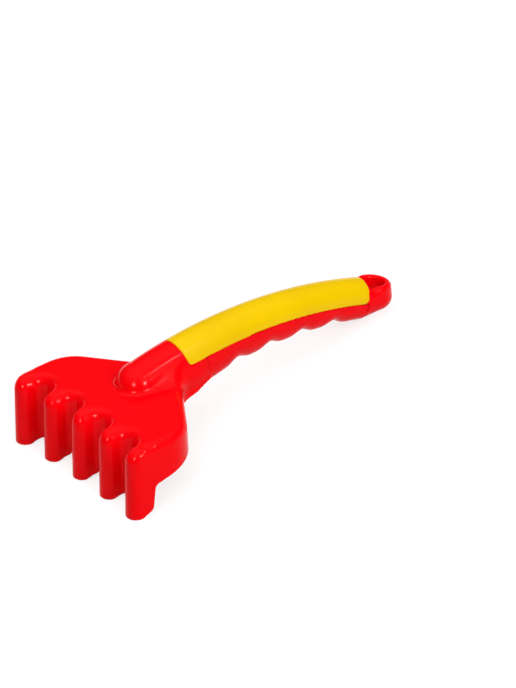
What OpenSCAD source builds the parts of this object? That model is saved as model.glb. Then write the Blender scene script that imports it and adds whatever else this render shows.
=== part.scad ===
// Sand rake: a moulded head with hollow tines, and an arched grip closed by two covers.
// All is drawn level, as it leaves the mould, with the tine tips at height zero and the front
// of the tines near x = 0. The rake is then tipped to stand on its tines and its hanging loop.

/* [Head] */
// Number of tines
tine_count = 5; // [3:1:7]
// Distance between the centres of two tines
tine_pitch = 27.3; // [25:0.1:32]
// Width of a tine below the rounded deck edge
tine_w = 11.8; // [11:0.1:14]
// Distance by which the middle tine stands back behind the outer tines
tine_bow = 2.25; // [0:0.25:3]
// Height of the deck above the tine tips
deck_h = 41; // [38:0.5:50]
// Radius of the rounded edge of the deck
deck_r = 5.25; // [3:0.25:5.25]
// Outward slope of the moulded walls, in degrees
draft = 1.5; // [0.5:0.25:2.5]
// Forward lean of the tines, in degrees
lean = 5.75; // [0:0.25:8]
// Depth of a notch between two tines, from the front of the tines
notch_depth = 14; // [13:0.5:20]
// Length of the straight side of the head
side_run = 23.5; // [20:0.5:32]
// Radius of the rear corner of the head
shoulder_r = 23.5; // [16:0.5:28]
// Radius of the hollow between the head and the neck
waist_r = 11; // [8:0.5:16]
// Angle of the rear edge of the head, in degrees
waist_angle = 58; // [50:1:68]
// Radius of the fillet between the neck and the deck
base_r = 4; // [1:0.5:5]
// Wall of the head, the neck and the tines
shell = 2.2; // [1.6:0.1:2.6]

/* [Tines and skirt] */
// Depth of a tine at the skirt, from its front to its open back
tine_depth = 11.5; // [9:0.5:13]
// Depth of a tine at its tip
tip_depth = 8; // [7:0.5:9]
// Rise of the tip from the front to the back of a tine
tip_rise = 3; // [2:0.5:6]
// Height of the skirt behind the tines
skirt_h = 16.5; // [14:0.5:22]
// Slope of the lower edge of the skirt, in degrees
skirt_slope = 10; // [6:0.5:12]
// Radius of the corners along the lower edge
skirt_r = 3; // [1:0.25:3.5]

/* [Grip] */
// Radius of the arch that the grip follows, at its widest line
arch_r = 295; // [280:2.5:400]
// Height of the widest line above the deck, at the top of the arch
arch_rise = 5.7; // [5:0.1:8]
// Distance from the end of the waist to the top of the arch
arch_run = 33.5; // [28:0.5:40]
// Half width of the grip at the head
grip_w_head = 13.2; // [12.5:0.1:14]
// Half width of the grip at the loop
grip_w_loop = 11.8; // [11.2:0.1:13]
// Height of the crown above the widest line
crown_h = 12.2; // [11:0.1:14]
// Depth below the widest line at the head end of the finger grip
belly_head = 19; // [16:0.2:21]
// Depth below the widest line at the loop end of the finger grip
belly_loop = 11.8; // [10:0.1:14]
// Distance from the top of the arch forward to the centre of the nose
nose_run = 60; // [54:1:64]

/* [Covers] */
// Wall of the grip cover and the finger grip
cover_wall = 2; // [1.6:0.1:2.4]
// Wall of the spine that carries the covers
spine_wall = 2; // [1.6:0.1:2.6]
// Depth of the spine below the widest line
spine_drop = 3.5; // [2:0.25:4]
// Room between a cover and the spine under it
fit_gap = 0.2; // [0.1:0.05:0.4]
// Width of the seam around the covers
seam_gap = 0.2; // [0.1:0.05:0.4]
// Distance from the top of the arch forward to the lower front corner of the grip cover
cover_front = 32.5; // [28:0.5:38]
// Distance from the top of the arch back to the lower rear corner of the grip cover
cover_back = 97.5; // [92:0.5:102]
// Length by which the crown of the grip cover reaches past each lower corner
cover_rake = 1; // [0.5:0.5:4]
// Radius of the lower corners of the grip cover
cover_corner = 3; // [1:0.25:4]
// Distance from the top of the arch forward to the front of the finger grip
finger_front = 20.5; // [14:0.5:24]
// Distance from the top of the arch back to the rear of the finger grip
finger_back = 98; // [94:0.5:104]
// Number of finger grooves
groove_count = 4; // [3:1:4]
// Distance between two finger grooves
groove_pitch = 24; // [21:0.5:25]
// Depth of a finger groove
groove_depth = 2.8; // [1:0.1:3.2]
// Distance from the top of the arch back to the first finger groove
groove_first = 3.5; // [2:0.5:8]
// Radius of the pegs that hold the covers
peg_r = 2; // [1.5:0.1:2.4]

/* [Hanging loop] */
// Length of the loop behind the finger grip
loop_run = 23; // [21:0.5:28]
// Height of the round end of the loop
loop_h = 16.5; // [13:0.5:18]
// Radius of the upper edge of the loop
loop_top_r = 4.5; // [2:0.25:5.5]
// Radius of the lower edge of the loop
loop_low_r = 5.5; // [3:0.25:5.5]
// Width of the hole
hole_w = 14; // [11:0.5:15]
// Length of the hole, from its flat side to its round end
hole_l = 14.5; // [12:0.5:15]
// Wall between the hole and the end of the loop
hole_wall = 3.5; // [2.5:0.25:5]

/* [Hidden] */

// Facets of round forms, and steps along curves
$fn = 32;
ring_steps = 14;
beam_steps = 14;
grip_steps = 42;
neck_steps = 8;
edge_steps = 4;
arc_step = 18;
// Reach of a cut past what it cuts, and the bite that joins two forms of one piece
past = 60;
bite = 0.5;

// Outline of the head, seen from above
nose_r = tine_w / 2;
notch_r = (tine_pitch - tine_w) / 2;
notch_x = notch_depth - notch_r;
head_y = (tine_count - 1) * tine_pitch / 2 + nose_r;
neck_inset = 1;
neck_y = grip_w_head - neck_inset;
rear_run = (head_y - neck_y - (shoulder_r + waist_r) * (1 - cos(waist_angle))) / sin(waist_angle);
waist_x = side_run + (shoulder_r + waist_r) * sin(waist_angle) + rear_run * cos(waist_angle);

// Top of the arch in x, and the centre of its circle in z
arch_x = waist_x + arch_run;
arch_z = deck_h + arch_rise - arch_r;

// Spine under the covers
spine_inset = cover_wall + fit_gap;
boss_r = peg_r + spine_wall;
cover_peg_end = 3;
finger_peg_end = 1;

// Centre and underside of the round end of the loop
loop_x = arch_x + arch_r * sin(turn(finger_back)) + loop_run - grip_w_loop;
loop_z = arch_z + (arch_r - belly_loop) * cos(turn(finger_back));

// Circles that touch the ground, at the tips and under the loop, and the tilt of the ground
tip_front = -(deck_h - deck_r) * tan(draft) - deck_h * tan(lean);
tip_turn = tip_front + nose_r;
tip_slope = atan2(tip_rise, tip_depth - tip_turn);
tip_centre = [tip_turn - skirt_r * tan(tip_slope / 2), skirt_r];
heel_centre = [loop_x + grip_w_loop - loop_low_r, loop_z + loop_low_r];
heel_way = heel_centre - tip_centre;
tilt = atan2(heel_way.y, heel_way.x) - asin((loop_low_r - skirt_r) / norm(heel_way));
ground = tip_centre.y * cos(tilt) - tip_centre.x * sin(tilt) - skirt_r;
front_reach = tip_front * cos(tilt);
rim_centre = [loop_x + grip_w_loop - loop_top_r, loop_z + loop_h - loop_top_r];
back_reach = rim_centre.x * cos(tilt) + rim_centre.y * sin(tilt) + loop_top_r;

// Tip the level rake onto the ground, with its middle over the origin
module standing() {
    translate([-(front_reach + back_reach) / 2, 0, -ground]) rotate([0, tilt, 0]) children();
}

// Points on the arch: a run along its widest line, then a height away from it
function turn(run) = run / arch_r * 180 / PI;
function on_arch(run, y, h) = [
    arch_x + (arch_r + h) * sin(turn(run)), y, arch_z + (arch_r + h) * cos(turn(run))];
function side_point(run, h) = let (p = on_arch(run, 0, h)) [p.x, p.z];
function arch_height(x, h) = arch_z + sqrt(pow(arch_r + h, 2) - pow(x - arch_x, 2));

// Half width and belly of the grip along the arch
function share(run) = min(1, max(0, (run + finger_front) / (finger_back + finger_front)));
function grip_w(run) = grip_w_head + (grip_w_loop - grip_w_head) * share(run);
function groove(run) = let (turns = (run - groove_first) / groove_pitch)
    abs(turns - (groove_count - 1) / 2) > groove_count / 2 ? 0
    : groove_depth * (1 + cos(360 * turns)) / 2;
function belly(run) = belly_head + (belly_loop - belly_head) * share(run) - groove(run);

// Angles of a half ring, closer together near its two ends
function ring_angle(i) = 90 - 90 * cos(180 * i / ring_steps);
// Crown and belly as half rings, lifted off the widest line; the belly is squarer than an ellipse
belly_power = 2.6;
function soft(v) = sign(v) * pow(abs(v), 2 / belly_power);
function crown_ring(w, h, lift = 0) = [for (i = [0 : ring_steps]) let (a = ring_angle(i))
    [-w * cos(a), lift + (h - lift) * sin(a)]];
function belly_ring(w, h, lift = 0) = [for (i = [0 : ring_steps]) let (a = ring_angle(i))
    [w * soft(cos(a)), -lift - (h - lift) * soft(sin(a))]];
function backwards(list) = [for (i = [len(list) - 1 : -1 : 0]) list[i]];

// Solid through a row of closed rings with as many points each; a bent wall closes as a strip
module loft(rings, bent = false) {
    n = len(rings[0]);
    last = (len(rings) - 1) * n;
    sides = [for (j = [0 : n : last - n], i = [0 : n - 1]) let (k = (i + 1) % n)
        each [[j + i, j + k, j + n + k], [j + i, j + n + k, j + n + i]]];
    strip = [for (i = [0 : n / 2 - 2]) let (k = n - 1 - i) each [[i, k, k - 1], [i, k - 1, i + 1]]];
    front = bent ? strip : [[for (i = [n - 1 : -1 : 0]) i]];
    rear = [for (face = front) [for (i = backwards(face)) last + i]];
    polyhedron([for (ring = rings) each ring], [each sides, each front, each rear]);
}

// Side view of the rake as a plate across its whole width
module across() {
    rotate([90, 0, 0]) linear_extrude(2 * head_y + past, center = true) children();
}

// Arcs of the head's outline: centre, radius, first and last angle, and 1 for a bulge or -1 for a hollow
function tine_y(i) = (tine_count - 1) * tine_pitch / 2 - i * tine_pitch;
function tine_x(i) = tine_bow * (1 - pow(tine_y(i) / tine_y(0), 2));
function tine_arc(i) = [[nose_r + tine_x(i), tine_y(i)], nose_r, 90, 270, 1];
function notch_arc(i) = [
    [notch_x + (tine_x(i) + tine_x(i + 1)) / 2, tine_y(i) - tine_pitch / 2], notch_r, 90, -90, -1];
function head_arcs() = [
    for (i = [0 : tine_count - 2]) each [tine_arc(i), notch_arc(i)],
    tine_arc(tine_count - 1),
    [[side_run, shoulder_r - head_y], shoulder_r, 270, 270 + waist_angle, 1],
    [[waist_x, -neck_y - waist_r], waist_r, 90 + waist_angle, 90, -1],
    [[waist_x, 0], neck_y, -90, 90, 1],
    [[waist_x, neck_y + waist_r], waist_r, 270, 270 - waist_angle, -1],
    [[side_run, head_y - shoulder_r], shoulder_r, 90 - waist_angle, 90, 1]];
// That outline grown by a distance, at one height, carried forward by the lean below the deck edge
function head_ring(grow, z) = [for (arc = head_arcs())
    let (r = arc[1] + arc[4] * grow, n = ceil(abs(arc[3] - arc[2]) / arc_step))
    for (i = [0 : n]) let (a = arc[2] + (arc[3] - arc[2]) * i / n)
        [arc[0].x + r * cos(a) + (z - deck_h) * tan(lean), arc[0].y + r * sin(a), z]];

// Head as a block with a rounded upper edge and sloping walls, inset for its hollow
module head_block(inset) {
    r = deck_r - inset;
    top = deck_h - inset;
    foot = -bite;
    steps = inset > 0 ? edge_steps / 2 : edge_steps;
    edge = [for (i = [0 : steps]) let (a = 90 * i / steps)
        head_ring(r * sin(a) - deck_r, top - r + r * cos(a))];
    loft([each edge, head_ring((top - r - foot) * tan(draft) - inset, foot)]);
}

// Neck as a row of domed posts along the arch, inset for its hollow
module domed_post(run, r) {
    translate(on_arch(run, 0, crown_h - grip_w_head)) {
        sphere(r);
        translate([0, 0, -deck_h]) cylinder(r = r, h = deck_h);
    }
}
module neck(back, inset) {
    step = (nose_run + back) / neck_steps;
    for (i = [0 : neck_steps - 1])
        hull() for (k = [i, i + 1]) domed_post(k * step - nose_run, grip_w_head - inset);
}
// Fillet from the deck up to the nose and the neck, fading out at the waist
function base_ring(grow, z) =
    let (dome = on_arch(-nose_run, 0, crown_h - grip_w_head))
    let (r = sqrt(pow(grip_w_head, 2) - pow(max(0, z - dome.z), 2)) + grow) [
        for (a = [90 : arc_step / 2 : 270]) [dome.x + r * cos(a), r * sin(a), z],
        [waist_x, bite - grip_w_head, z],
        [waist_x, grip_w_head - bite, z]];
module neck_base() {
    loft([for (i = [0 : edge_steps]) let (a = 90 * i / edge_steps)
        base_ring(base_r * (1 - cos(a)), deck_h + base_r * (1 - sin(a)))]);
}

// Arched beam with a round crown between two runs, inset from the outside of the grip
module beam(front, back, inset, drop) {
    loft([for (i = [0 : beam_steps])
        let (run = front + (back - front) * i / beam_steps, w = grip_w(run) - inset)
        [for (p = [each crown_ring(w, crown_h - inset), [w, -drop], [-w, -drop]])
            on_arch(run, p.x, p.y)]]);
}

// How far an end of the grip cover reaches past its lower corner, at a height
function corner_cut(h) = h > cover_corner ? 0
    : cover_corner - sqrt(pow(cover_corner, 2) - pow(cover_corner - h, 2));
function cover_end(h) = cover_rake * h / crown_h - corner_cut(h - seam_gap / 2);

// Side view of the room for the grip cover
module cover_room() {
    heights = [for (a = [0 : arc_step : 90]) seam_gap / 2 + cover_corner * (1 - cos(a)), 2 * crown_h];
    low = [for (i = [1 : beam_steps - 1]) let (t = i / beam_steps)
        side_point((1 - t) * -cover_front + t * cover_back, seam_gap / 2)];
    rear = [for (h = heights) side_point(cover_back + cover_end(h), h)];
    front = [for (h = backwards(heights)) side_point(-cover_front - cover_end(h), h)];
    offset(delta = seam_gap) polygon([each low, each rear, each front]);
}
// Side view of the room for the finger grip
module finger_room() {
    front = -finger_front - seam_gap;
    rear = finger_back + seam_gap;
    top = [for (i = [0 : beam_steps]) side_point(front + (rear - front) * i / beam_steps, seam_gap / 2)];
    polygon([each top, side_point(rear, -past), side_point(front, -past)]);
}
// Side view of what is open under the tines, the head and the neck
module open_below() {
    rear = arch_x;
    rear_h = skirt_h + (rear - tine_depth) * tan(skirt_slope);
    offset(r = skirt_r) offset(r = -2 * skirt_r) offset(r = skirt_r)
        polygon([[-past, -past], [-past, 0], [tip_turn, 0], [tip_depth, tip_rise],
            [tine_depth, skirt_h], [rear, rear_h], [rear, -past]]);
}

// Places of the pegs, between the finger grooves
peg_runs = [for (i = [1 : groove_count - 1]) groove_first + (i - 0.5) * groove_pitch];
function peg_x(run) = on_arch(run, 0, -belly_loop).x;
module upright(x, r, low, high) {
    translate([x, 0, low]) cylinder(r = r, h = high - low);
}

// Hanging loop: a round end with rolled edges that grows out of the end of the grip
module rolled_edge(r, z) {
    translate([loop_x, 0, z]) rotate_extrude() translate([grip_w_loop - r, 0]) circle(r);
}
module loop_block() {
    hull() {
        loft([for (run = [finger_back - cover_rake : cover_rake : finger_back + cover_rake])
            [for (p = [each crown_ring(grip_w(run), crown_h), each belly_ring(grip_w(run), belly(run))])
                on_arch(run, p.x, p.y)]]);
        rolled_edge(loop_low_r, loop_z + loop_low_r);
        rolled_edge(loop_top_r, loop_z + loop_h - loop_top_r);
    }
}
module loop_hole() {
    round_x = loop_x + grip_w_loop - hole_wall - hole_w / 2;
    translate([0, 0, loop_z - past]) linear_extrude(3 * past) {
        translate([round_x, 0]) circle(hole_w / 2);
        translate([round_x - hole_l + hole_w / 2, -hole_w / 2]) square([hole_l - hole_w / 2, hole_w]);
    }
}

// Outside of the body, with the spine where the covers go
module body_form() {
    head_block(0);
    neck_base();
    difference() {
        union() {
            neck(-finger_front, 0);
            loop_block();
        }
        across() cover_room();
        across() finger_room();
    }
    beam(-nose_run, finger_back + bite, spine_inset, spine_drop);
}
// Hollow of the head, the neck and the spine, open below
module body_hollow() {
    neck_back = -cover_front - cover_rake - grip_w_head;
    head_block(shell);
    neck(neck_back, shell);
    beam(neck_back, finger_back - spine_wall, spine_inset + spine_wall, past);
}

module rake_body() {
    color([0.95, 0.05, 0.09]) standing() difference() {
        union() {
            difference() {
                body_form();
                body_hollow();
                across() open_below();
                loop_hole();
            }
            intersection() {
                beam(0, finger_back, spine_inset, spine_drop);
                for (run = peg_runs) upright(peg_x(run), boss_r, 0, arch_height(peg_x(run), crown_h));
            }
        }
        for (run = peg_runs)
            upright(peg_x(run), peg_r + fit_gap, 0, arch_height(peg_x(run), 2 * crown_h));
    }
}

module grip_cover() {
    lift = seam_gap / 2;
    color([0.97, 0.8, 0.04]) standing() {
        loft([for (i = [0 : beam_steps])
            let (t = i / beam_steps, mid = t * cover_back - (1 - t) * cover_front)
            [for (p = [each crown_ring(grip_w(mid), crown_h, lift),
                    each backwards(crown_ring(grip_w(mid) - cover_wall, crown_h - cover_wall, lift))])
                let (reach = cover_end(p.y))
                on_arch(t * (cover_back + reach) - (1 - t) * (cover_front + reach), p.x, p.y)]], true);
        for (run = peg_runs) let (x = peg_x(run))
            upright(x, peg_r, arch_height(x, cover_peg_end), arch_height(x, crown_h - cover_wall / 2));
    }
}

module finger_grip() {
    lift = seam_gap / 2;
    color([0.93, 0.06, 0.1]) standing() {
        loft([for (i = [0 : grip_steps])
            let (run = i / grip_steps * finger_back - (1 - i / grip_steps) * finger_front, w = grip_w(run))
            [for (p = [each belly_ring(w, belly(run), lift),
                    each backwards(belly_ring(w - cover_wall, belly(run) - cover_wall, lift))])
                on_arch(run, p.x, p.y)]], true);
        for (run = peg_runs) let (x = peg_x(run))
            upright(x, peg_r, arch_height(x, cover_wall / 2 - belly(run)), arch_height(x, finger_peg_end));
    }
}

rake_body();
grip_cover();
finger_grip();
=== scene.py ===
import math
import bpy
import numpy as np
from mathutils import Matrix, Vector


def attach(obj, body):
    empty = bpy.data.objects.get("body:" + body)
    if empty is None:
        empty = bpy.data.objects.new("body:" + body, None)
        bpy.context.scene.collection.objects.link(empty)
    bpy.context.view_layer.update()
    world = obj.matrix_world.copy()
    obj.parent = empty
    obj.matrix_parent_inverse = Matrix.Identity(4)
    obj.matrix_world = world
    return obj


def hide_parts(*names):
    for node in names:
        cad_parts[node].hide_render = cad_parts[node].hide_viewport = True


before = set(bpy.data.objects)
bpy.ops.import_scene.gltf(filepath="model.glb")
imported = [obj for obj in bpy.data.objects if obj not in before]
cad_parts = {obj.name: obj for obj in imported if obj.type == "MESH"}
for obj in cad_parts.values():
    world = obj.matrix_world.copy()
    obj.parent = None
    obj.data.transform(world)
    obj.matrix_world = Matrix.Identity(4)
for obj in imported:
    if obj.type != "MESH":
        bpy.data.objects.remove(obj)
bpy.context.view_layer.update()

# The rake is shaped in a level frame, in millimetres: x from the tines to the loop, y across, z up.
# Each moulding is a distance field, below zero inside it, and its surface becomes a net of faces.

# Head, seen from above
TINE_COUNT = 5
TINE_PITCH = 27.3
TINE_W = 11.8
TINE_BOW = 2.25  # how far the middle tine stands back from the outer ones
NOTCH_DEPTH = 12.8
SIDE_RUN = 23.5
SHOULDER_R = 23.5
WAIST_R = 11.0
WAIST_ANGLE = 58.0
REAR_GROW = 1.0  # moves the rear edge of the deck back
NECK_INSET = 1.0  # the head meets the neck this far inside the neck's width

# Head, seen from the side
DECK_H = 41.0
DRAFT = math.radians(1.5)
LEAN = math.radians(5.75)
SHELL = 2.2
TINE_DEPTH = 12.3
TIP_DEPTH = 8.8
TIP_RISE = 3.0
SKIRT_H = 16.5
SKIRT_SLOPE = math.radians(10.0)
SKIRT_R = 3.0
NECK_SLOPE = math.radians(19.0)
NECK_START = 3.0  # behind the waist
LINE_START = -60.0  # the line under the head begins in front of the tines

# Edge of the deck: soft at the tips of the tines, firmer behind them and on the outer sides
DECK_R = 5.25
TIP_R = 8.0
TIP_BLUR = 1.2
TIP_BACK = (6.5, 17.0)  # range of x over which the edge turns firm
OUTER_FIRM = (0.0, 10.0)  # the same on the outer sides
OUTER_BAND = 2.0  # the outer sides begin this far inside the middle of the outer tines

# Fillet from the head to the neck: small at the nose, wider at the waist and widest on the deck
BASE_BLEND = 3.0
SIDE_BLEND = 6.5
WAIST_BLEND = 10.0
BLEND_RUN = (30.0, 6.0)  # in front of the waist
BLEND_DROP = (10.0, 2.0)  # below the deck
HOLLOW_BLEND = 3.0

# Arch of the grip: an arc along its widest line, where the two covers meet
ARCH_R = 295.0
ARCH_RISE = 5.7  # of its highest place over the deck
ARCH_RUN = 33.5  # from the waist to its highest place
NOSE_RUN = 60.0  # from its highest place forward to the nose
GRIP_W_HEAD = 13.2  # half the width at the head
GRIP_W_LOOP = 11.8  # half the width at the loop
CROWN_H = 12.2

# Yellow cover
COVER_WALL = 2.0
COVER_FRONT = 32.5
COVER_BACK = 97.5
COVER_RAKE = 1.0  # slant of the end at the neck
COVER_CUT = 0.9  # slant of the end at the loop
COVER_CORNER = 3.0

# Finger grip
FINGER_FRONT = 20.5
FINGER_BACK = 98.0
BELLY_HEAD = 19.0
BELLY_LOOP = 11.8
BELLY_POWER = 2.6
BELLY_SQUARE = 0.8  # squarer section where the grip meets the neck
SQUARE_RUN = 22.0
GROOVE_COUNT = 4
GROOVE_PITCH = 24.0
GROOVE_DEPTH = 3.0
GROOVE_FIRST = 3.5
GROOVE_POWER = 1.6

# Spine and pegs inside the grip
SPINE_WALL = 2.0
SPINE_DROP = 3.5
SPINE_TAIL = 3.0  # reaches this far into the loop
PEG_R = 2.0
BOSS_GAP = 0.5
COVER_PEG_LOW = 3.0  # lower end of the cover's pegs, over the widest line
FINGER_PEG_HIGH = 1.0  # upper end of the finger grip's pegs, over the widest line
FIT_GAP = 0.2
SEAM_GAP = 0.1

# Hanging loop, with places along it given from the centre of its round end
LOOP_RUN = 23.0
LOOP_LAP = 6.0  # reaches this far into the end of the grip
LOOP_TOP_Z = 37.1
LOOP_FALL = 0.14  # slope of the top
LOOP_CLIMB = 0.045  # extra rise of the top towards the cover
CLIMB_START = 2.0  # the extra rise begins this far in front
LOOP_TOP_R = 2.6
LOOP_CROWN_R = 9.0  # radius of the upper edge beside the cover
CROWN_EASE = (-10.0, 2.0)  # where one radius passes into the other
LOOP_LOW_R = 8.0
LOOP_BELLY_R = 9.6  # radius of the lower edge beside the finger grip
BELLY_FADE = (11.0, 18.0)  # the lower edge changes from this far in front, over this length
HOLE_W = 14.0
HOLE_L = 14.5
HOLE_WALL = 3.5
HOLE_CORNER = 1.2

# Softness of the edges
EDGE_SOFT = 0.9
SEAM_SOFT = 0.25
RIM_SOFT = 2.6

# Charts and nets
CHART_STEP = 0.3
HEAD_CHART = ((-16.0, 0.0), (96.0, 78.0))
BELOW_CHART = ((-20.0, -12.0), (112.0, 64.0))
CHART_SKIP = -40.0  # arcs beyond this y are too far to matter to the half that is charted
CHART_RIM = 1.001  # keeps a look-up inside the last cell
BLUR_REACH = 3
ARC_STEP = 4.0  # degrees
CORNER_STEP = 6.0
FAR = 1e9  # larger than any distance here
CLEAR = 50.0  # stands for nothing to cut
NET_SIZE = 0.8
NET_LEVELS = 3  # halvings from the coarse cells to the fine ones
NET_SLACK = 1.35
CELL_REACH = 0.87  # half the diagonal of a cube of side one
SETTLE_ROUNDS = 2
SETTLE_STEPS = 3
SMOOTH_SHARE = 0.5
STEP_LIMIT = 0.4  # longest move of a vertex, in cells
SLOPE_STEP = 0.04
NORMAL_STEP = 0.15

# Lower limits that keep divisions safe
SLOPE_FLOOR = 0.2
BELLY_SLOPE_FLOOR = 0.02
BELLY_FLOOR = 1e-6
LENGTH_FLOOR = 1e-9
SQUARE_FLOOR = 1e-12

# Boxes that the nets are made in
BOXES = {
    "rake_body": ((-12.0, -66.0, -3.0), (230.0, 66.0, 64.0)),
    "grip_cover": ((66.0, -16.0, 30.0), (212.0, 16.0, 64.0)),
    "finger_grip": ((78.0, -16.0, 12.0), (206.0, 16.0, 52.0)),
}

# Values that follow from the ones above
NOSE_R = TINE_W / 2
NOTCH_R = (TINE_PITCH - TINE_W) / 2
NOTCH_X = NOTCH_DEPTH - NOTCH_R
HEAD_Y = (TINE_COUNT - 1) * TINE_PITCH / 2 + NOSE_R
NECK_Y = GRIP_W_HEAD - NECK_INSET
BEND = math.radians(WAIST_ANGLE)
REAR_RUN = (HEAD_Y - NECK_Y - (SHOULDER_R + WAIST_R) * (1 - math.cos(BEND))) / math.sin(BEND)
WAIST_X = SIDE_RUN + (SHOULDER_R + WAIST_R) * math.sin(BEND) + REAR_RUN * math.cos(BEND)
ARCH_X = WAIST_X + ARCH_RUN
ARCH_Z = DECK_H + ARCH_RISE - ARCH_R
LOOP_X = ARCH_X + ARCH_R * math.sin(FINGER_BACK / ARCH_R) + LOOP_RUN - GRIP_W_LOOP
LOOP_Z = ARCH_Z + (ARCH_R - BELLY_LOOP) * math.cos(FINGER_BACK / ARCH_R)
TIP_FRONT = -(DECK_H - DECK_R) * math.tan(DRAFT) - DECK_H * math.tan(LEAN)
TIP_TURN = TIP_FRONT + NOSE_R


# Small distance tools
def round_max(a, b, r):
    """Both fields at once, with a round edge of radius r where they meet."""
    a, b = a + r, b + r
    return np.hypot(np.maximum(a, 0), np.maximum(b, 0)) + np.minimum(np.maximum(a, b), 0) - r


def soft_min(a, b, k):
    """Either field, with a fillet of width k."""
    t = np.maximum(k - np.abs(a - b), 0) / k
    return np.minimum(a, b) - t * t * k / 4


def soft_max(a, b, k):
    """Both fields at once, with the edge where they meet eased over width k."""
    return -soft_min(-a, -b, k)


def ease(a, b, t):
    """From 0 at a to 1 at b, level at both ends."""
    t = np.clip((t - a) / (b - a), 0, 1)
    return t * t * (3 - 2 * t)


# Outline of the head as arcs: centre, radius, first angle and last angle
def tine_y(i):
    return (TINE_COUNT - 1) * TINE_PITCH / 2 - i * TINE_PITCH


def tine_x(i):
    return TINE_BOW * (1 - (tine_y(i) / tine_y(0)) ** 2)


def head_arcs():
    out = []
    for i in range(TINE_COUNT):
        out.append((NOSE_R + tine_x(i), tine_y(i), NOSE_R, 90, 270))
        if i < TINE_COUNT - 1:
            notch = NOTCH_X + (tine_x(i) + tine_x(i + 1)) / 2
            out.append((notch, tine_y(i) - TINE_PITCH / 2, NOTCH_R, 90, -90))
    side, waist = SIDE_RUN + REAR_GROW, WAIST_X + REAR_GROW
    out.append((side, SHOULDER_R - HEAD_Y, SHOULDER_R, 270, 270 + WAIST_ANGLE))
    out.append((waist, -NECK_Y - WAIST_R, WAIST_R, 90 + WAIST_ANGLE, 90))
    out.append((waist, 0, NECK_Y, -90, 90))
    out.append((waist, NECK_Y + WAIST_R, WAIST_R, 270, 270 - WAIST_ANGLE))
    out.append((side, HEAD_Y - SHOULDER_R, SHOULDER_R, 90 - WAIST_ANGLE, 90))
    return out


def arc_point(arc, angle):
    cx, cy, r = arc[:3]
    return cx + r * math.cos(math.radians(angle)), cy + r * math.sin(math.radians(angle))


def polyline_of(arcs):
    points = []
    for arc in arcs:
        first, last = arc[3:]
        n = max(2, math.ceil(abs(last - first) / ARC_STEP))
        for i in range(n + 1):
            points.append(arc_point(arc, first + (last - first) * i / n))
    return np.array(points)


def distance_to_lines(u, v, points):
    best = np.full(u.shape, FAR)
    for (ax, ay), (bx, by) in zip(points[:-1], points[1:]):
        dx, dy = bx - ax, by - ay
        length2 = dx * dx + dy * dy
        if length2 < SQUARE_FLOOR:
            continue
        t = np.clip(((u - ax) * dx + (v - ay) * dy) / length2, 0, 1)
        best = np.minimum(best, (u - ax - t * dx) ** 2 + (v - ay - t * dy) ** 2)
    return np.sqrt(best)


class Chart:
    """A flat distance field kept on a fine grid."""

    def __init__(self, lo, hi, step):
        self.lo, self.hi, self.step = lo, hi, step
        self.n = [int(math.ceil((b - a) / step)) + 1 for a, b in zip(lo, hi)]
        along = [a + step * np.arange(n) for a, n in zip(lo, self.n)]
        self.u, self.v = np.meshgrid(*along, indexing="ij")

    def at(self, u, v):
        a = np.clip((u - self.lo[0]) / self.step, 0, self.n[0] - CHART_RIM)
        b = np.clip((v - self.lo[1]) / self.step, 0, self.n[1] - CHART_RIM)
        i, j = a.astype(int), b.astype(int)
        a, b = a - i, b - j
        d = self.d
        near = d[i, j] * (1 - a) + d[i + 1, j] * a
        far = d[i, j + 1] * (1 - a) + d[i + 1, j + 1] * a
        return near * (1 - b) + far * b


def head_chart():
    """Distance to the outline of the head, for the half with y above zero."""
    chart = Chart(*HEAD_CHART, CHART_STEP)
    u, v = chart.u, chart.v
    arcs = head_arcs()
    ring = polyline_of(arcs)
    # A point is inside where a ray from it crosses the outline an odd number of times
    inside = np.zeros(u.shape, bool)
    for (ax, ay), (bx, by) in zip(ring, np.roll(ring, -1, axis=0)):
        if ay == by:
            continue
        cross = (ay > v) != (by > v)
        inside ^= cross & (u < ax + (v - ay) / (by - ay) * (bx - ax))
    d = np.full(u.shape, FAR)
    for arc in arcs:
        cx, cy, r, first, last = arc
        if cy < CHART_SKIP:
            continue
        middle, span = math.radians((first + last) / 2), math.radians(abs(last - first) / 2)
        du, dv = u - cx, v - cy
        turn = np.abs((np.arctan2(dv, du) - middle + math.pi) % (2 * math.pi) - math.pi)
        for angle in (first, last):
            ex, ey = arc_point(arc, angle)
            d = np.minimum(d, np.hypot(u - ex, v - ey))
        d = np.where(turn <= span, np.minimum(d, np.abs(np.hypot(du, dv) - r)), d)
    # Straight lines from each arc to the next
    for arc, after in zip(arcs, arcs[1:] + arcs[:1]):
        start, end = arc_point(arc, arc[4]), arc_point(after, after[3])
        if max(start[1], end[1]) > CHART_SKIP:
            d = np.minimum(d, distance_to_lines(u, v, np.array([start, end])))
    chart.d = np.where(inside, -d, d)
    return chart


def rounded_corners(points, r):
    """A line of straight runs with its corners rounded."""
    out = [points[0]]
    for before, corner, after in zip(points[:-2], points[1:-1], points[2:]):
        a, b, c = np.array(before), np.array(corner), np.array(after)
        u, w = (a - b) / np.linalg.norm(a - b), (c - b) / np.linalg.norm(c - b)
        half = math.acos(np.clip(u @ w, -1, 1)) / 2
        cut = r / math.tan(half)
        middle = (u + w) / np.linalg.norm(u + w)
        centre = b + middle * r / math.sin(half)
        p, q = b + u * cut - centre, b + w * cut - centre
        turn = math.atan2(p[0] * q[1] - p[1] * q[0], p @ q)
        n = max(2, math.ceil(abs(math.degrees(turn)) / CORNER_STEP))
        for i in range(n + 1):
            cos, sin = math.cos(turn * i / n), math.sin(turn * i / n)
            out.append(tuple(centre + np.array([p[0] * cos - p[1] * sin, p[0] * sin + p[1] * cos])))
    out.append(points[-1])
    return np.array(out)


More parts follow.
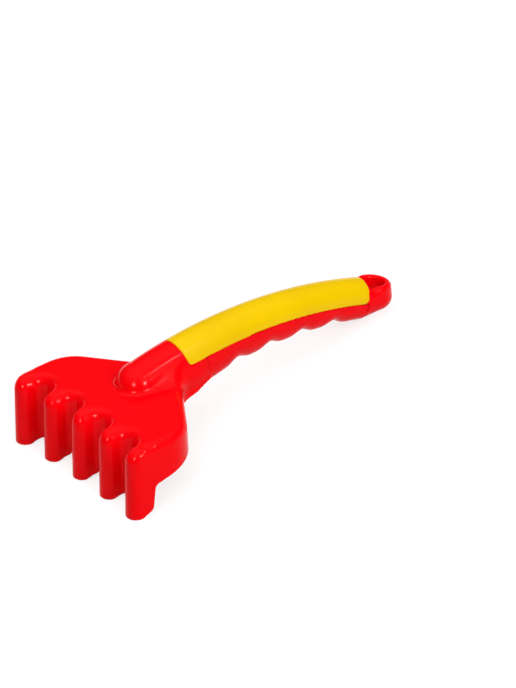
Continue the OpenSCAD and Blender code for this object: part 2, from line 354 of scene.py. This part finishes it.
def below_chart():
    """Distance to the line that cuts the head and the neck from below, in side view."""
    start = WAIST_X + NECK_START
    start_h = SKIRT_H + (start - TINE_DEPTH) * math.tan(SKIRT_SLOPE)
    end_h = start_h + (ARCH_X - start) * math.tan(NECK_SLOPE)
    line = rounded_corners([(LINE_START, 0.0), (TIP_TURN, 0.0), (TIP_DEPTH, TIP_RISE),
                            (TINE_DEPTH, SKIRT_H), (start, start_h), (ARCH_X, end_h)], SKIRT_R)
    chart = Chart(*BELOW_CHART, CHART_STEP)
    d = distance_to_lines(chart.u, chart.v, line)
    chart.d = np.where(chart.v < np.interp(chart.u, line[:, 0], line[:, 1]), -d, d)
    return chart


def softened(chart, spread):
    """The same chart with its creases smoothed, mirrored over its lower edge."""
    reach = int(math.ceil(BLUR_REACH * spread / chart.step))
    weights = np.exp(-0.5 * (np.arange(-reach, reach + 1) * chart.step / spread) ** 2)
    weights /= weights.sum()
    d = np.pad(chart.d, ((reach, reach), (0, 0)), mode="edge")
    d = sum(w * d[i:i + chart.n[0]] for i, w in enumerate(weights))
    d = np.concatenate([d[:, reach:0:-1], d, np.repeat(d[:, -1:], reach, axis=1)], axis=1)
    out = Chart(chart.lo, chart.hi, chart.step)
    out.d = sum(w * d[:, i:i + chart.n[1]] for i, w in enumerate(weights))
    return out


HEAD = head_chart()
HEAD_SOFT = softened(HEAD, TIP_BLUR)
BELOW = below_chart()


# Where a point lies along the arch, and how far off its widest line
def on_arch(run, h):
    t = run / ARCH_R
    return ARCH_X + (ARCH_R + h) * math.sin(t), ARCH_Z + (ARCH_R + h) * math.cos(t)


def arch_place(p):
    dx, dz = p[:, 0] - ARCH_X, p[:, 2] - ARCH_Z
    return np.arctan2(dx, dz) * ARCH_R, np.hypot(dx, dz) - ARCH_R


def share(run):
    """From 0 at the neck end of the finger grip to 1 at its loop end."""
    return np.clip((run + FINGER_FRONT) / (FINGER_BACK + FINGER_FRONT), 0, 1)


def grip_w(run):
    return GRIP_W_HEAD + (GRIP_W_LOOP - GRIP_W_HEAD) * share(run)


def belly(run):
    """Depth of the finger grip, with its grooves."""
    turns = (run - GROOVE_FIRST) / GROOVE_PITCH
    live = np.abs(turns - (GROOVE_COUNT - 1) / 2) <= GROOVE_COUNT / 2
    dip = np.where(live, GROOVE_DEPTH * ((1 + np.cos(2 * math.pi * turns)) / 2) ** GROOVE_POWER, 0)
    return BELLY_HEAD + (BELLY_LOOP - BELLY_HEAD) * share(run) - dip


# Fields of the forms
def crown_field(y, run, h):
    """Upper half of the grip: a round top on upright sides."""
    w = grip_w(run)
    return np.hypot(y, np.maximum(h - (CROWN_H - w), 0)) - w


def belly_field(y, run, h):
    """Lower half of the grip: between an ellipse and a box in section."""
    w, b = grip_w(run), belly(run)
    p = BELLY_POWER + BELLY_SQUARE * (1 - ease(-FINGER_FRONT, -FINGER_FRONT + SQUARE_RUN, run))
    s, t = np.abs(y) / w, np.maximum(-h, 0) / b
    g = np.maximum((s ** p + t ** p) ** (1 / p), BELLY_FLOOR)
    slope = g ** (1 - p) * np.hypot(s ** (p - 1) / w, t ** (p - 1) / b)
    return (g - 1) / np.maximum(slope, BELLY_SLOPE_FLOOR)


def head_field(p):
    """The outline of the head, leaning and with draft, under a deck with a rounded edge."""
    z = p[:, 2]
    x, y = p[:, 0] - (z - DECK_H) * math.tan(LEAN), np.abs(p[:, 1])
    grow = np.maximum(DECK_H - DECK_R - z, 0) * math.tan(DRAFT)
    flat = HEAD.at(x, y)
    outer = ease(tine_y(0) - OUTER_BAND, HEAD_Y, y) * ease(*OUTER_FIRM, x)
    firm = np.maximum(ease(*TIP_BACK, x), outer)
    top = HEAD_SOFT.at(x, y) * (1 - firm) + flat * firm
    edge = round_max(top - grow, z - DECK_H, TIP_R + (DECK_R - TIP_R) * firm)
    return np.maximum(edge, flat - grow)


def neck_field(p, inset, back):
    """The neck: a round top along the arch, upright sides and a round nose."""
    x, y, z = p.T
    lift = CROWN_H - GRIP_W_HEAD
    x_nose, x_back = on_arch(-NOSE_RUN, lift)[0], on_arch(back, lift)[0]
    near_x = np.clip(x, x_nose, x_back)
    rise = np.sqrt((ARCH_R + lift) ** 2 - (near_x - ARCH_X) ** 2)
    up = np.maximum(z - ARCH_Z - rise, 0) * rise / (ARCH_R + lift)
    return np.sqrt((x - near_x) ** 2 + y * y + up * up) - (GRIP_W_HEAD - inset)


def cover_room(run, h):
    """Stretch of the grip that the yellow cover takes up."""
    loop_end = run - COVER_BACK - COVER_CUT * h / CROWN_H
    neck_end = -COVER_FRONT - run - COVER_RAKE * h / CROWN_H
    return round_max(np.maximum(loop_end, neck_end), SEAM_GAP / 2 - h, COVER_CORNER)


def finger_ends(run):
    return np.maximum(run - FINGER_BACK, -FINGER_FRONT - run)


def finger_room(run, h):
    return np.maximum(finger_ends(run) - SEAM_GAP, h - SEAM_GAP / 2)


def loop_field(p, run):
    """The loop without its hole: a round end that carries on from the grip."""
    x, y, z = p.T
    width = np.where(x > LOOP_X, GRIP_W_LOOP, grip_w(run))
    plan = np.hypot(np.maximum(x - LOOP_X, 0), y) - width
    past_cover = ease(LOOP_X + CROWN_EASE[0], LOOP_X + CROWN_EASE[1], x)
    top_r = LOOP_CROWN_R + (LOOP_TOP_R - LOOP_CROWN_R) * past_cover
    climb = np.maximum(LOOP_X - CLIMB_START - x, 0)
    rise = LOOP_FALL * (LOOP_X - x) + LOOP_CLIMB * climb ** 2
    top = (z - LOOP_TOP_Z - rise) / np.hypot(1, LOOP_FALL + 2 * LOOP_CLIMB * climb)
    fade = np.clip((x - LOOP_X + BELLY_FADE[0]) / BELLY_FADE[1], 0, 1)
    low_r = LOOP_BELLY_R + (LOOP_LOW_R - LOOP_BELLY_R) * fade
    return np.maximum(round_max(plan, top, top_r), round_max(plan, LOOP_Z - z, low_r))


def hole_field(p):
    x, y, _ = p.T
    centre = LOOP_X + GRIP_W_LOOP - HOLE_WALL - HOLE_W / 2
    flat = centre + HOLE_W / 2 - HOLE_L
    d = np.hypot(np.maximum(x - centre, 0), y) - HOLE_W / 2
    return round_max(d, flat - x, HOLE_CORNER)


def peg_field(p, r):
    """Upright rods between the finger grooves."""
    d = np.full(len(p), FAR)
    for i in range(1, GROOVE_COUNT):
        x = on_arch(GROOVE_FIRST + (i - 0.5) * GROOVE_PITCH, -BELLY_LOOP)[0]
        d = np.minimum(d, np.hypot(p[:, 0] - x, p[:, 1]) - r)
    return d


# Fields of the three mouldings
def body_skin(p, run, h):
    """Head and neck with a fillet, and the loop, less the rooms of the two covers."""
    neck = np.maximum(neck_field(p, 0, 0), run + FINGER_FRONT + SEAM_GAP)
    behind = ease(WAIST_X - BLEND_RUN[0], WAIST_X - BLEND_RUN[1], p[:, 0])
    above = ease(DECK_H - BLEND_DROP[0], DECK_H - BLEND_DROP[1], p[:, 2])
    blend = BASE_BLEND + behind * (SIDE_BLEND + (WAIST_BLEND - SIDE_BLEND) * above - BASE_BLEND)
    skin = soft_min(head_field(p), neck, blend)
    loop = np.maximum(loop_field(p, run), FINGER_BACK - LOOP_LAP - run)
    loop = soft_max(loop, -hole_field(p), RIM_SOFT)
    rooms = np.minimum(cover_room(run, h) - SEAM_GAP, finger_room(run, h))
    return soft_max(np.minimum(skin, loop), -rooms, SEAM_SOFT)


def body_field(p):
    run, h = arch_place(p)
    under_cover = crown_field(p[:, 1], run, h) + (COVER_WALL + FIT_GAP)
    neck_back = -COVER_FRONT - COVER_RAKE - GRIP_W_HEAD
    # The spine runs inside the grip, from the nose into the loop
    spine = np.maximum(under_cover, -SPINE_DROP - h)
    spine = np.maximum(spine, np.maximum(run - FINGER_BACK - SPINE_TAIL, -NOSE_RUN - run))
    # Head, neck and spine are hollow
    hollow = soft_min(head_field(p) + SHELL, neck_field(p, SHELL, neck_back), HOLLOW_BLEND)
    beam_ends = np.maximum(run - FINGER_BACK + SPINE_WALL, neck_back - run)
    hollow = np.minimum(hollow, np.maximum(under_cover + SPINE_WALL, beam_ends))
    solid = np.maximum(np.minimum(body_skin(p, run, h), spine), -hollow)
    # Bosses take the pegs of the covers
    boss = np.maximum(peg_field(p, PEG_R + SPINE_WALL), under_cover + BOSS_GAP)
    solid = np.minimum(solid, np.maximum(boss, -SPINE_DROP - h))
    solid = np.maximum(solid, -peg_field(p, PEG_R + FIT_GAP))
    cut = np.where(p[:, 0] < ARCH_X, BELOW.at(p[:, 0], p[:, 2]), CLEAR)
    return soft_max(solid, -cut, EDGE_SOFT)


def cover_field(p):
    run, h = arch_place(p)
    crown = crown_field(p[:, 1], run, h)
    wall = np.maximum(crown, -crown - COVER_WALL)
    wall = soft_max(wall, cover_room(run, h), SEAM_SOFT)
    peg = np.maximum(np.maximum(peg_field(p, PEG_R), crown + COVER_WALL / 2), COVER_PEG_LOW - h)
    return np.minimum(wall, peg)


def finger_field(p):
    run, h = arch_place(p)
    low = belly_field(p[:, 1], run, h)
    wall = np.maximum(low, -low - COVER_WALL)
    wall = soft_max(wall, np.maximum(finger_ends(run), h + SEAM_GAP / 2), SEAM_SOFT)
    peg = np.maximum(np.maximum(peg_field(p, PEG_R), low + COVER_WALL / 2), h - FINGER_PEG_HIGH)
    return np.minimum(wall, peg)


FIELDS = {"rake_body": body_field, "grip_cover": cover_field, "finger_grip": finger_field}

# Surface of a field as a net of four-sided faces
CORNERS = np.array([[i, j, k] for i in (0, 1) for j in (0, 1) for k in (0, 1)])
EDGES = [(a, b) for a in range(8) for b in range(a + 1, 8) if abs(CORNERS[a] - CORNERS[b]).sum() == 1]


def gradient(field, p, step):
    g = np.empty_like(p)
    for axis in range(3):
        move = np.zeros(3)
        move[axis] = step
        g[:, axis] = (field(p + move) - field(p - move)) / (2 * step)
    return g


def near_cells(field, lo, hi):
    """Cells of the fine grid close to the surface, found by halving coarse ones, and the grid's size."""
    step = NET_SIZE * 2 ** NET_LEVELS
    n = np.ceil((np.array(hi) - lo) / step).astype(int)
    cells = np.stack(np.meshgrid(*[np.arange(k) for k in n], indexing="ij"), -1).reshape(-1, 3)
    for level in range(NET_LEVELS, -1, -1):
        step = NET_SIZE * 2 ** level
        cells = cells[np.abs(field(lo + (cells + 0.5) * step)) < step * CELL_REACH * NET_SLACK]
        if level:
            cells = (cells[:, None] * 2 + CORNERS).reshape(-1, 3)
    return cells, (n * 2 ** NET_LEVELS + 2).astype(np.int64)


def surface_net(field, lo, hi):
    lo = np.array(lo, float)
    cells, span = near_cells(field, lo, hi)

    def code(c):
        return (c[..., 0].astype(np.int64) * span[1] + c[..., 1]) * span[2] + c[..., 2]

    # Field at the corners of each cell, each corner worked out once
    ids = code(cells[:, None] + CORNERS)
    unique, back = np.unique(ids, return_inverse=True)
    grid = np.stack([unique // (span[1] * span[2]), unique // span[2] % span[1], unique % span[2]], -1)
    value = field(lo + grid * NET_SIZE)[back.reshape(ids.shape)]
    inside = value < 0
    mixed = inside.any(1) & ~inside.all(1)
    cells, value, inside = cells[mixed], value[mixed], inside[mixed]
    # One vertex in each cell that the surface crosses, amid the crossings of its edges
    total, count = np.zeros((len(cells), 3)), np.zeros(len(cells))
    for a, b in EDGES:
        hit = inside[:, a] != inside[:, b]
        t = value[hit, a] / (value[hit, a] - value[hit, b])
        total[hit] += CORNERS[a] + t[:, None] * (CORNERS[b] - CORNERS[a])
        count[hit] += 1
    verts = lo + (cells + total / count[:, None]) * NET_SIZE
    # One face round each crossed edge, from the four cells that share it
    own = code(cells)
    order = np.argsort(own)
    sorted_own = own[order]
    faces = []
    for axis in range(3):
        along = 4 >> axis  # the corner one step from the first along this axis
        hit = inside[:, 0] != inside[:, along]
        base = cells[hit]
        u, v = np.eye(3, dtype=int)[(axis + 1) % 3], np.eye(3, dtype=int)[(axis + 2) % 3]
        quad = []
        found = np.ones(len(base), bool)
        for offset in (0 * u, -u, -u - v, -v):
            wanted = code(base + offset)
            at = np.searchsorted(sorted_own, wanted).clip(0, len(own) - 1)
            found &= sorted_own[at] == wanted
            quad.append(order[at])
        quad = np.stack(quad, -1)
        flip = ~inside[hit, 0]
        quad[flip] = quad[flip][:, ::-1]
        faces.append(quad[found])
    return verts, np.concatenate(faces)


def onto_surface(field, verts):
    for _ in range(SETTLE_STEPS):
        g = gradient(field, verts, SLOPE_STEP)
        d = field(verts)
        move = (d / np.maximum((g * g).sum(1), SLOPE_FLOOR))[:, None] * g
        length = np.linalg.norm(move, axis=1, keepdims=True)
        verts = verts - move * np.minimum(1, STEP_LIMIT * NET_SIZE / np.maximum(length, LENGTH_FLOOR))
    return verts


def settle(field, verts, faces):
    """Evens out the net, with its vertices brought back onto the surface each time."""
    edges = np.concatenate([faces[:, [i, (i + 1) % 4]] for i in range(4)])
    verts = onto_surface(field, verts)
    for _ in range(SETTLE_ROUNDS):
        total = np.zeros_like(verts)
        count = np.zeros(len(verts))
        for a, b in ((0, 1), (1, 0)):
            np.add.at(total, edges[:, a], verts[edges[:, b]])
            np.add.at(count, edges[:, a], 1)
        verts = onto_surface(field, verts + SMOOTH_SHARE * (total / count[:, None] - verts))
    return verts


# From the level frame, in millimetres, to the frame of the standing part, in metres
# The turn, the shift and the ground are those that the solids are given
MM = 0.001
STAND_TILT = math.radians(5.04615)
STAND_SHIFT = -111.187
STAND_GROUND = -0.03209


def turned(p):
    c, s = math.cos(STAND_TILT), math.sin(STAND_TILT)
    return np.stack([p[:, 0] * c + p[:, 2] * s, p[:, 1], p[:, 2] * c - p[:, 0] * s], -1)


def standing(p):
    return (turned(p) + np.array([STAND_SHIFT, 0, -STAND_GROUND])) * MM


# Materials
PLASTIC_IOR = 1.49
CLOUD_SCALE = 26.0
CLOUD_DETAIL = 3.0
CLOUD_RANGE = (0.35, 0.65)
SPECK_SCALE = 900.0
SPECK_RANGE = (0.3, 0.7)
GRAIN_SCALE = 420.0
FINE_DETAIL = 2.0
# Pointiness range and share of the painted edge sheen: a lighter colour on sharp edges that stands in
# for reflected light
EDGE_RANGE = (0.53, 0.62)
EDGE_SHEEN = 0.35
GRAIN_STRENGTH = 0.03
GRAIN_HEIGHT = 0.0002


def node(tree, kind, **settings):
    new = tree.nodes.new(kind)
    for name, value in settings.items():
        setattr(new, name, value)
    return new


def noise(tree, where, scale, detail):
    new = node(tree, "ShaderNodeTexNoise")
    new.inputs["Scale"].default_value = scale
    new.inputs["Detail"].default_value = detail
    tree.links.new(where, new.inputs["Vector"])
    return new.outputs["Fac"]


def ramp(tree, value, low, high, first, last):
    """From first, where the value is low, to last, where it is high."""
    new = node(tree, "ShaderNodeMapRange", clamp=True)
    for name, number in zip(("From Min", "From Max", "To Min", "To Max"), (low, high, first, last)):
        new.inputs[name].default_value = number
    tree.links.new(value, new.inputs["Value"])
    return new.outputs["Result"]


def colour_mix(tree, factor, first, last):
    new = node(tree, "ShaderNodeMix", data_type="RGBA")
    tree.links.new(factor, new.inputs[0])
    for socket, colour in ((new.inputs[6], first), (new.inputs[7], last)):
        if isinstance(colour, tuple):
            socket.default_value = (*colour, 1)
        else:
            tree.links.new(colour, socket)
    return new.outputs[2]


def plastic(name, deep, main, edge_sheen, roughness, specular):
    """Plastic with a faint cloud in its colour, sharp edges painted lighter as a sheen of reflected
    light, uneven gloss and a fine grain.
    """
    material = bpy.data.materials.new(name)
    material.use_nodes = True
    tree = material.node_tree
    shader = tree.nodes["Principled BSDF"]
    shader.inputs["IOR"].default_value = PLASTIC_IOR
    shader.inputs["Specular IOR Level"].default_value = specular
    where = node(tree, "ShaderNodeTexCoord").outputs["Object"]
    cloud = noise(tree, where, CLOUD_SCALE, CLOUD_DETAIL)
    speck = noise(tree, where, SPECK_SCALE, FINE_DETAIL)
    base = colour_mix(tree, ramp(tree, cloud, *CLOUD_RANGE, 0.0, 1.0), deep, main)
    edge = node(tree, "ShaderNodeNewGeometry").outputs["Pointiness"]
    # Painted highlight: sharp convex edges are mixed towards a lighter, pinker colour that stands in for
    # the sheen of reflected light along them
    base = colour_mix(tree, ramp(tree, edge, *EDGE_RANGE, 0.0, EDGE_SHEEN), base, edge_sheen)
    tree.links.new(base, shader.inputs["Base Color"])
    tree.links.new(ramp(tree, speck, *SPECK_RANGE, *roughness), shader.inputs["Roughness"])
    bump = node(tree, "ShaderNodeBump")
    bump.inputs["Strength"].default_value = GRAIN_STRENGTH
    bump.inputs["Distance"].default_value = GRAIN_HEIGHT
    tree.links.new(noise(tree, where, GRAIN_SCALE, FINE_DETAIL), bump.inputs["Height"])
    tree.links.new(bump.outputs["Normal"], shader.inputs["Normal"])
    return material


# The third colour of each plastic is the painted edge sheen, lighter than its main colour
RED = plastic("glossy_red", deep=(0.86, 0.0005, 0.003), main=(0.90, 0.0005, 0.004),
              edge_sheen=(0.92, 0.01, 0.015), roughness=(0.12, 0.18), specular=0.06)
YELLOW = plastic("satin_yellow", deep=(0.77, 0.49, 0.0005), main=(0.81, 0.52, 0.0005),
                 edge_sheen=(0.85, 0.57, 0.01), roughness=(0.18, 0.26), specular=0.08)
LOOKS = {"rake_body": RED, "finger_grip": RED, "grip_cover": YELLOW}


# Pieces
def place_in_scene(name, data):
    obj = bpy.data.objects.new(name, data)
    bpy.context.scene.collection.objects.link(obj)
    return obj


def piece(name):
    field = FIELDS[name]
    verts, faces = surface_net(field, *BOXES[name])
    verts = settle(field, verts, faces)
    normals = gradient(field, verts, NORMAL_STEP)
    normals /= np.maximum(np.linalg.norm(normals, axis=1, keepdims=True), LENGTH_FLOOR)
    mesh = bpy.data.meshes.new(name + "_form")
    mesh.from_pydata(standing(verts).tolist(), [], faces.tolist())
    mesh.update()
    mesh.shade_smooth()
    mesh.normals_split_custom_set_from_vertices(turned(normals).tolist())
    mesh.materials.append(LOOKS[name])
    obj = place_in_scene(name + "_form", mesh)
    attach(obj, "root")
    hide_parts(name)


for piece_name in FIELDS:
    piece(piece_name)

# Floor and world: a grey floor, and a sky that is brightest overhead
# To the camera, in reflections and through glass, the floor and a low backdrop are white instead
FLOOR_HALF = 6.0
FLOOR_GREY = 0.62
FLOOR_ROUGHNESS = 0.9
SEEN_GREY = 0.3
SEEN_GLOW = 0.75
SKY_POWER = 4.0
SKY_RANGE = (0.06, 2.0)  # from the horizon to overhead
BACKDROP_FADE = (0.08, 0.16)  # the backdrop ends low above the horizon


def seen_ray(tree):
    """1 for rays from the camera, from reflections and through glass, and 0 for others."""
    path = node(tree, "ShaderNodeLightPath")
    out = path.outputs["Is Camera Ray"]
    for kind in ("Is Glossy Ray", "Is Transmission Ray"):
        most = node(tree, "ShaderNodeMath", operation="MAXIMUM")
        tree.links.new(out, most.inputs[0])
        tree.links.new(path.outputs[kind], most.inputs[1])
        out = most.outputs[0]
    return out


def floor():
    mesh = bpy.data.meshes.new("floor")
    r = FLOOR_HALF
    mesh.from_pydata([(-r, -r, 0), (r, -r, 0), (r, r, 0), (-r, r, 0)], [], [(0, 1, 2, 3)])
    obj = place_in_scene("floor", mesh)
    material = bpy.data.materials.new("floor_white")
    material.use_nodes = True
    tree = material.node_tree
    plain = tree.nodes["Principled BSDF"]
    plain.inputs["Base Color"].default_value = (FLOOR_GREY, FLOOR_GREY, FLOOR_GREY, 1)
    plain.inputs["Roughness"].default_value = FLOOR_ROUGHNESS
    plain.inputs["Specular IOR Level"].default_value = 0.0
    pale = node(tree, "ShaderNodeBsdfDiffuse")
    pale.inputs["Color"].default_value = (SEEN_GREY, SEEN_GREY, SEEN_GREY, 1)
    glow = node(tree, "ShaderNodeEmission")
    glow.inputs["Strength"].default_value = SEEN_GLOW
    add = node(tree, "ShaderNodeAddShader")
    tree.links.new(pale.outputs[0], add.inputs[0])
    tree.links.new(glow.outputs[0], add.inputs[1])
    mix = node(tree, "ShaderNodeMixShader")
    tree.links.new(seen_ray(tree), mix.inputs[0])
    tree.links.new(plain.outputs[0], mix.inputs[1])
    tree.links.new(add.outputs[0], mix.inputs[2])
    tree.links.new(mix.outputs[0], tree.nodes["Material Output"].inputs["Surface"])
    mesh.materials.append(material)


def studio():
    world = bpy.data.worlds.new("studio")
    bpy.context.scene.world = world
    world.use_nodes = True
    tree = world.node_tree
    where = node(tree, "ShaderNodeTexCoord").outputs["Generated"]
    split = node(tree, "ShaderNodeSeparateXYZ")
    tree.links.new(where, split.inputs[0])
    high = node(tree, "ShaderNodeMath", operation="POWER", use_clamp=True)
    tree.links.new(split.outputs["Z"], high.inputs[0])
    high.inputs[1].default_value = SKY_POWER
    sky = ramp(tree, high.outputs[0], 0.0, 1.0, *SKY_RANGE)
    low = ramp(tree, split.outputs["Z"], *BACKDROP_FADE, 1.0, 0.0)
    backdrop = node(tree, "ShaderNodeMath", operation="MULTIPLY")
    tree.links.new(seen_ray(tree), backdrop.inputs[0])
    tree.links.new(low, backdrop.inputs[1])
    mix = node(tree, "ShaderNodeMix", data_type="FLOAT")
    tree.links.new(backdrop.outputs[0], mix.inputs[0])
    tree.links.new(sky, mix.inputs[2])
    mix.inputs[3].default_value = 1.0
    background = tree.nodes["Background"]
    tree.links.new(mix.outputs[0], background.inputs["Strength"])
    background.inputs["Color"].default_value = (1, 1, 1, 1)


floor()
studio()

# Camera, as fitted to the photo: focal length in pixels, angles in radians, lengths in millimetres
FOCAL_PX = 3031.1
PHOTO_H = 688
SENSOR = 36.0
CAM_TILT = 0.52469
CAM_ROLL = -0.10898
CAM_HEIGHT = 899.580
PART_SIDE = -107.334
PART_AWAY = 1428.863
PART_TURN = 0.59625
CLIP = (0.05, 50.0)


def from_camera_side(w):
    """A place or direction given square to the camera, in the level frame of the part."""
    c, s = math.cos(PART_TURN), math.sin(PART_TURN)
    return np.array([[c * w[0] + s * w[1], -s * w[0] + c * w[1], w[2]]])


def camera():
    place = standing(from_camera_side((-PART_SIDE, -PART_AWAY, CAM_HEIGHT)))[0]
    side = np.array([1.0, 0.0, 0.0])
    up = np.array([0.0, math.sin(CAM_TILT), math.cos(CAM_TILT)])
    ahead = np.array([0.0, math.cos(CAM_TILT), -math.sin(CAM_TILT)])
    right = math.cos(CAM_ROLL) * side + math.sin(CAM_ROLL) * up
    top = -math.sin(CAM_ROLL) * side + math.cos(CAM_ROLL) * up
    axes = [turned(from_camera_side(a))[0] for a in (right, top, -ahead)]
    data = bpy.data.cameras.new("camera")
    data.sensor_width = SENSOR
    data.lens = FOCAL_PX * data.sensor_width / PHOTO_H
    data.clip_start, data.clip_end = CLIP
    obj = place_in_scene("camera", data)
    pose = Matrix.Identity(4)
    for k in range(3):
        for r in range(3):
            pose[r][k] = axes[k][r]
        pose[k][3] = place[k]
    obj.matrix_world = pose
    bpy.context.scene.camera = obj


camera()

# Lamps: direction and half angle in degrees as the part sees them, and the light that they give
LAMP_FAR = 1.6


def lamp(name, azimuth, height, half_angle, level, glint):
    """A round lamp. A glint lamp shows only as a reflection; the others only light the surface."""
    a, e = math.radians(azimuth), math.radians(height)
    place = LAMP_FAR * Vector((math.cos(e) * math.cos(a), math.cos(e) * math.sin(a), math.sin(e)))
    radius = LAMP_FAR * math.tan(math.radians(half_angle))
    data = bpy.data.lights.new(name, "AREA")
    data.shape = "DISK"
    data.size = 2 * radius
    data.energy = level * math.pi ** 2 * LAMP_FAR ** 2
    obj = place_in_scene(name, data)
    obj.location = place
    obj.rotation_euler = (-place).to_track_quat("-Z", "Y").to_euler()
    obj.visible_glossy = glint
    obj.visible_diffuse = not glint


lamp("key", azimuth=-84, height=34, half_angle=18, level=0.61, glint=False)
lamp("side", azimuth=-150, height=38, half_angle=12, level=0.10, glint=False)
lamp("fill", azimuth=100, height=40, half_angle=18, level=0.20, glint=False)
lamp("key_glint", azimuth=-86, height=27, half_angle=5, level=0.90, glint=True)
lamp("side_glint", azimuth=-150, height=33, half_angle=6, level=0.60, glint=True)
lamp("back_glint", azimuth=-61, height=50, half_angle=3.5, level=0.11, glint=True)

bpy.context.scene.view_settings.view_transform = "Standard"
